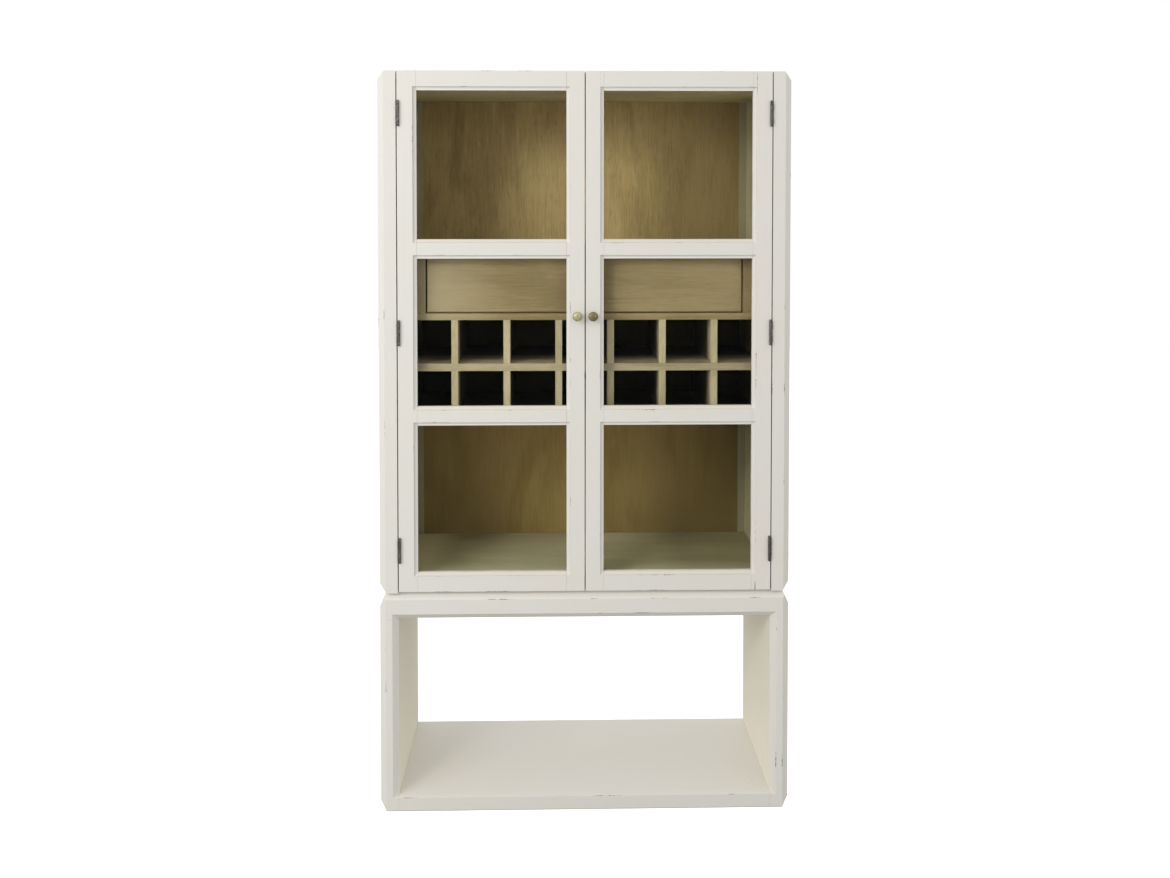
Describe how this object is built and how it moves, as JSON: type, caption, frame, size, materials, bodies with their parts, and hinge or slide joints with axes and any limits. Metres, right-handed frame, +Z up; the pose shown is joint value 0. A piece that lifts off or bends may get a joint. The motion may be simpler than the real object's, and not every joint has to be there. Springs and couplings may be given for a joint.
{
  "type": "bar cabinet",
  "caption": "Tall glazed two-door bar cabinet with drawers, a bottle rack and two compartments, standing on an open base shelf.",
  "frame": {"origin": "on the floor, under the middle of the whole object, knobs included", "axes": "+Z up, +Y from the front to the back, +X to the right of someone who faces the doors"},
  "size_m": [1.1, 0.454, 1.98],
  "materials": {
    "paint": "worn off-white paint",
    "wood": "matt olive-brown stain",
    "pale_wood": "unstained, matt",
    "washed_wood": "washed, matt",
    "glass": "clear, polished",
    "brass": "aged",
    "iron": "dark, aged"
  },
  "bodies": {
    "cabinet": {"base_top": "paint", "base_floor": "paint", "base_side_left": "paint", "base_side_right": "paint", "case_side_left": "paint", "case_side_right": "paint", "case_top": "paint", "case_bottom": "wood", "back_panel": "wood", "drawer_deck": "wood", "rack_top": "wood", "rack_bottom": "wood", "rack_shelf": "wood", "rack_end_left": "wood", "rack_end_right": "wood", "rack_divider_1": "wood", "rack_divider_2": "wood", "rack_divider_3": "wood", "rack_divider_4": "wood", "rack_divider_5": "wood", "rack_divider_6": "wood", "drawer_partition": "wood", "drawer_stile_left": "wood", "drawer_stile_right": "wood", "left_hinge_top_frame_leaf": "iron", "left_hinge_middle_frame_leaf": "iron", "left_hinge_bottom_frame_leaf": "iron", "right_hinge_top_frame_leaf": "iron", "right_hinge_middle_frame_leaf": "iron", "right_hinge_bottom_frame_leaf": "iron"},
    "left_door": {"left_door_hinge_stile": "paint", "left_door_meeting_stile": "paint", "left_door_top_rail": "paint", "left_door_upper_rail": "paint", "left_door_lower_rail": "paint", "left_door_bottom_rail": "paint", "left_door_glass_top": "glass", "left_door_glass_middle": "glass", "left_door_glass_bottom": "glass", "left_door_knob": "brass", "left_hinge_top_door_leaf": "iron", "left_hinge_middle_door_leaf": "iron", "left_hinge_bottom_door_leaf": "iron"},
    "right_door": {"right_door_hinge_stile": "paint", "right_door_meeting_stile": "paint", "right_door_top_rail": "paint", "right_door_upper_rail": "paint", "right_door_lower_rail": "paint", "right_door_bottom_rail": "paint", "right_door_glass_top": "glass", "right_door_glass_middle": "glass", "right_door_glass_bottom": "glass", "right_door_knob": "brass", "right_hinge_top_door_leaf": "iron", "right_hinge_middle_door_leaf": "iron", "right_hinge_bottom_door_leaf": "iron"},
    "left_drawer": {"left_drawer_front": "washed_wood", "left_drawer_box": "pale_wood"},
    "right_drawer": {"right_drawer_front": "washed_wood", "right_drawer_box": "pale_wood"}
  },
  "joints": [
    {"name": "left_door_hinge", "type": "hinge", "parent": "cabinet", "child": "left_door", "pos_m": [-0.4935, -0.2068, 1.287], "axis": [0, 0, -1], "range_deg": [0, 170]},
    {"name": "right_door_hinge", "type": "hinge", "parent": "cabinet", "child": "right_door", "pos_m": [0.4935, -0.2068, 1.287], "axis": [0, 0, 1], "range_deg": [0, 170]},
    {"name": "left_drawer_slide", "type": "slide", "parent": "cabinet", "child": "left_drawer", "axis": [0, -1, 0], "range_m": [0, 0.3]},
    {"name": "right_drawer_slide", "type": "slide", "parent": "cabinet", "child": "right_drawer", "axis": [0, -1, 0], "range_m": [0, 0.3]}
  ],
  "couplings": [
    {"joint": "left_drawer_slide", "follows": "left_door_hinge", "m_per_rad": 0.1},
    {"joint": "right_drawer_slide", "follows": "right_door_hinge", "m_per_rad": 0.1}
  ]
}
